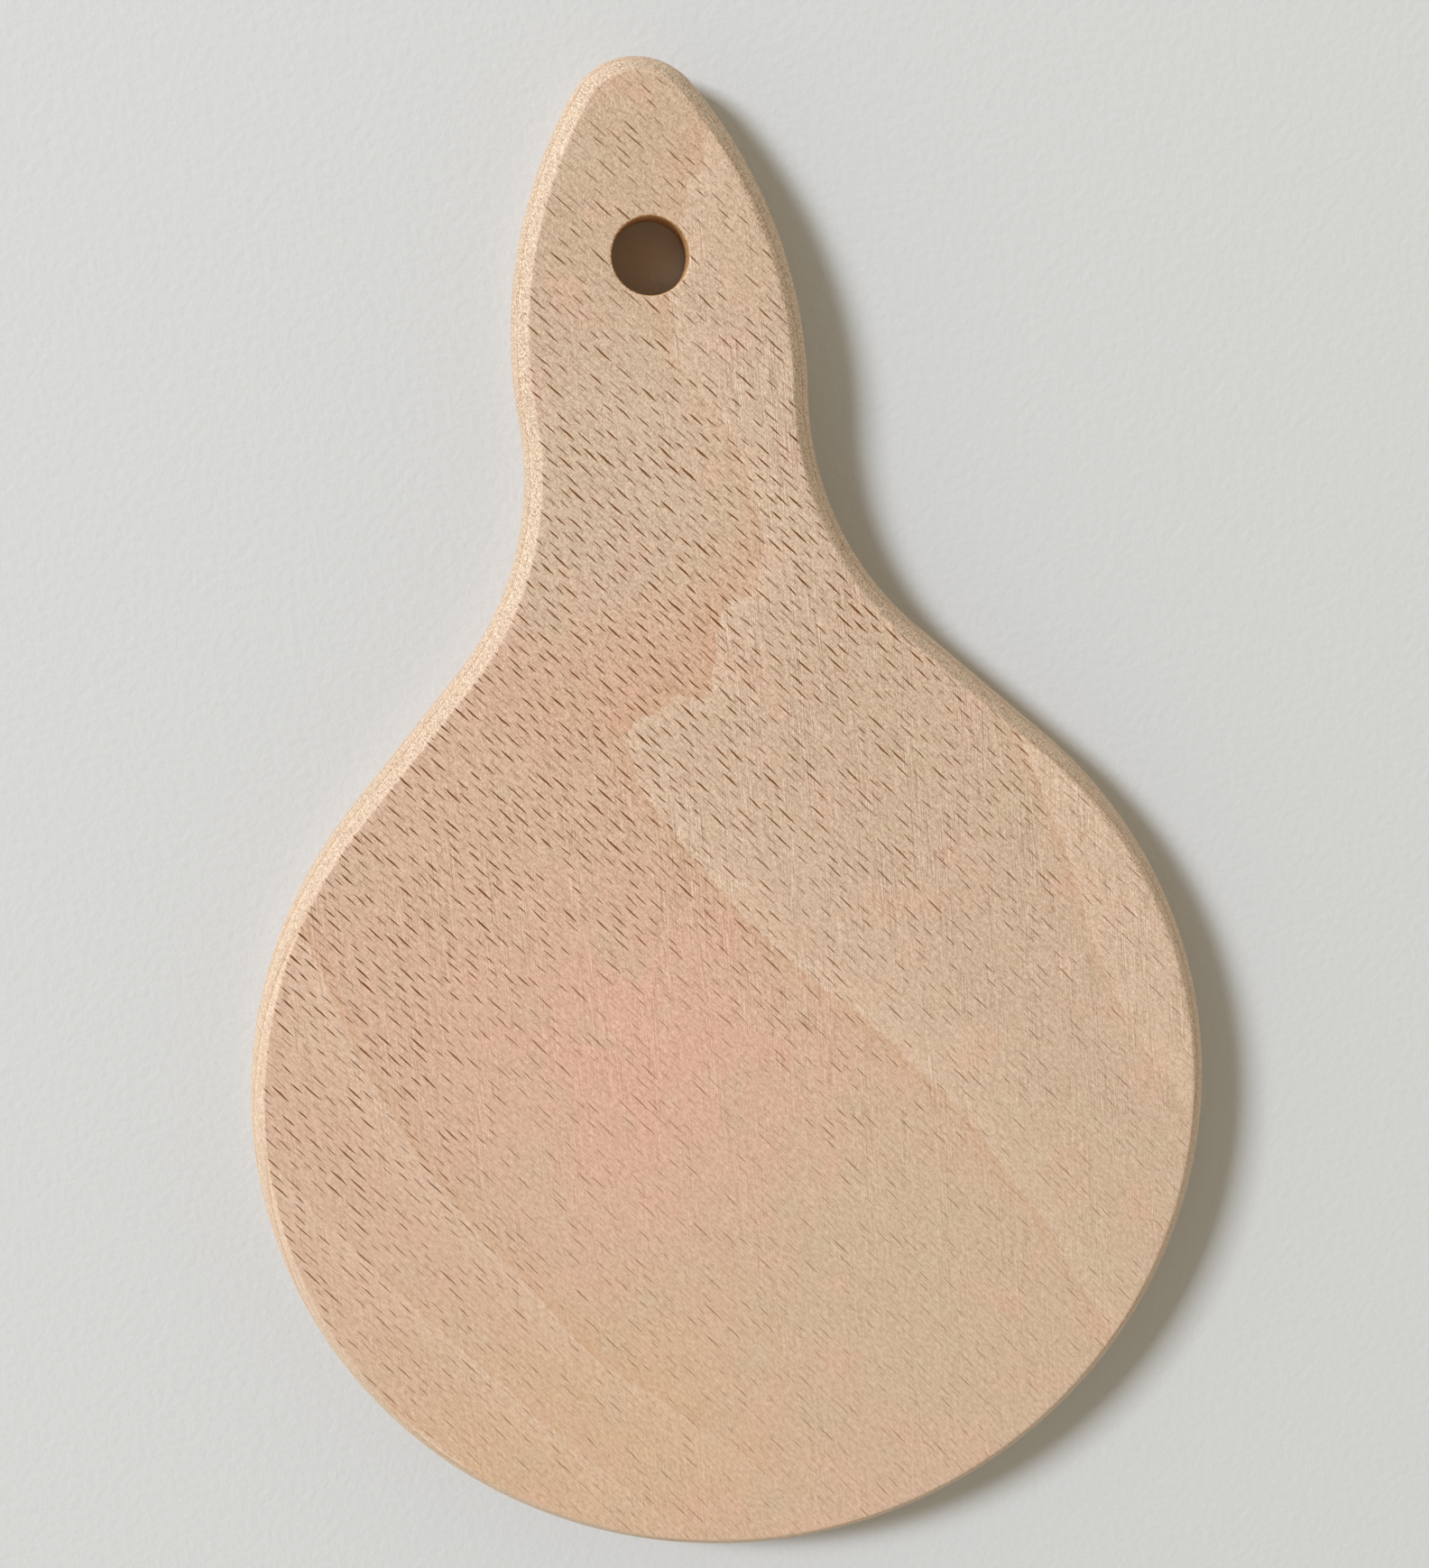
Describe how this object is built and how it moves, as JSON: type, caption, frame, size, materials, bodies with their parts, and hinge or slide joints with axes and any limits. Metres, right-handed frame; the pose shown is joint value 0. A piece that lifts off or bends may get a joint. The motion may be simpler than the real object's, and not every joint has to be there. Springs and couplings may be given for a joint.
{
  "type": "serving board",
  "caption": "Round solid-wood serving board with a pointed handle, a crowned edge and a through hole in the handle for hanging.",
  "frame": {"origin": "centre of the round disc on the flat underside, where the board rests", "axes": "+Y from the disc's centre along the handle to its point, +Z out of the serving face, +X to the right seen from above"},
  "size_m": [0.16, 0.2486, 0.012],
  "materials": {
    "beech": "matte, sanded and untreated"
  },
  "bodies": {
    "root": {"board": "beech"}
  },
  "joints": []
}
